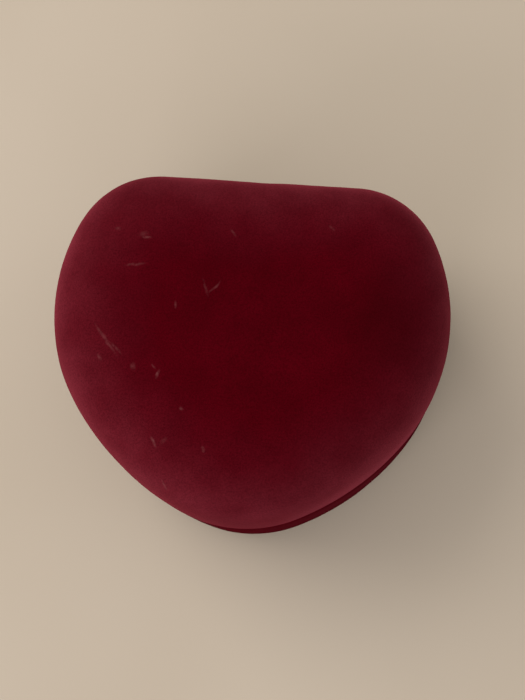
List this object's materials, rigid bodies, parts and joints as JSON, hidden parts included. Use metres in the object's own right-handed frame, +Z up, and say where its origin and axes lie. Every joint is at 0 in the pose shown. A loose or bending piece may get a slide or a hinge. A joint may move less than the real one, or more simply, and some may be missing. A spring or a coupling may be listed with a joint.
{
  "type": "ring box",
  "caption": "Hinged velvet-covered ring box, heart-like outline without a cleft, with a slotted ring pad, a satin-lined lid and a snap hinge.",
  "frame": {"origin": "middle of the box's plan, at the flat foot's level", "axes": "+X to the right across the widest point, +Y to the hinge at the rear, +Z up"},
  "size_m": [0.054, 0.047, 0.036],
  "materials": {
    "wine_velvet": "short dense velvet pile, deep wine red, lighter at grazing angles",
    "lining_velvet": "flocked velvet, wine red",
    "moulded_plastic": "moulded polystyrene shell, satin",
    "greyboard": "pressed paper board",
    "foam": "open-cell foam",
    "wadding": "soft fibre wadding",
    "white_satin": "ivory white satin, soft gloss",
    "plated_steel": "nickel-plated sheet steel",
    "spring_steel": "blued spring strip"
  },
  "bodies": {
    "base": {"base_shell": "moulded_plastic", "base_velvet": "wine_velvet", "collar_card": "greyboard", "collar_lining": "lining_velvet", "pad_card": "greyboard", "pad_foam_front": "foam", "pad_wrap_front": "lining_velvet", "pad_foam_rear": "foam", "pad_wrap_rear": "lining_velvet", "hinge_leaf_base": "plated_steel", "base_leaf_rivets": "plated_steel", "hinge_pin": "plated_steel"},
    "spring": {"snap_spring": "spring_steel"},
    "lid": {"lid_shell": "moulded_plastic", "lid_velvet": "wine_velvet", "lid_lining_band": "white_satin", "lid_pad_card": "greyboard", "lid_pad_wadding": "wadding", "lid_pad_satin": "white_satin", "hinge_leaf_lid": "plated_steel", "lid_leaf_rivets": "plated_steel"}
  },
  "joints": [
    {"name": "lid_hinge", "type": "hinge", "parent": "base", "child": "lid", "pos_m": [0, 0.02276, 0.0185], "axis": [-1, 0, 0], "range_deg": [0, 95]},
    {"name": "spring_turn", "type": "hinge", "parent": "base", "child": "spring", "pos_m": [0, 0.02078, 0.01475], "axis": [-1, 0, 0], "range_deg": [0, 47.5]}
  ],
  "couplings": [
    {"joint": "spring_turn", "follows": "lid_hinge", "ratio": 0.5}
  ]
}
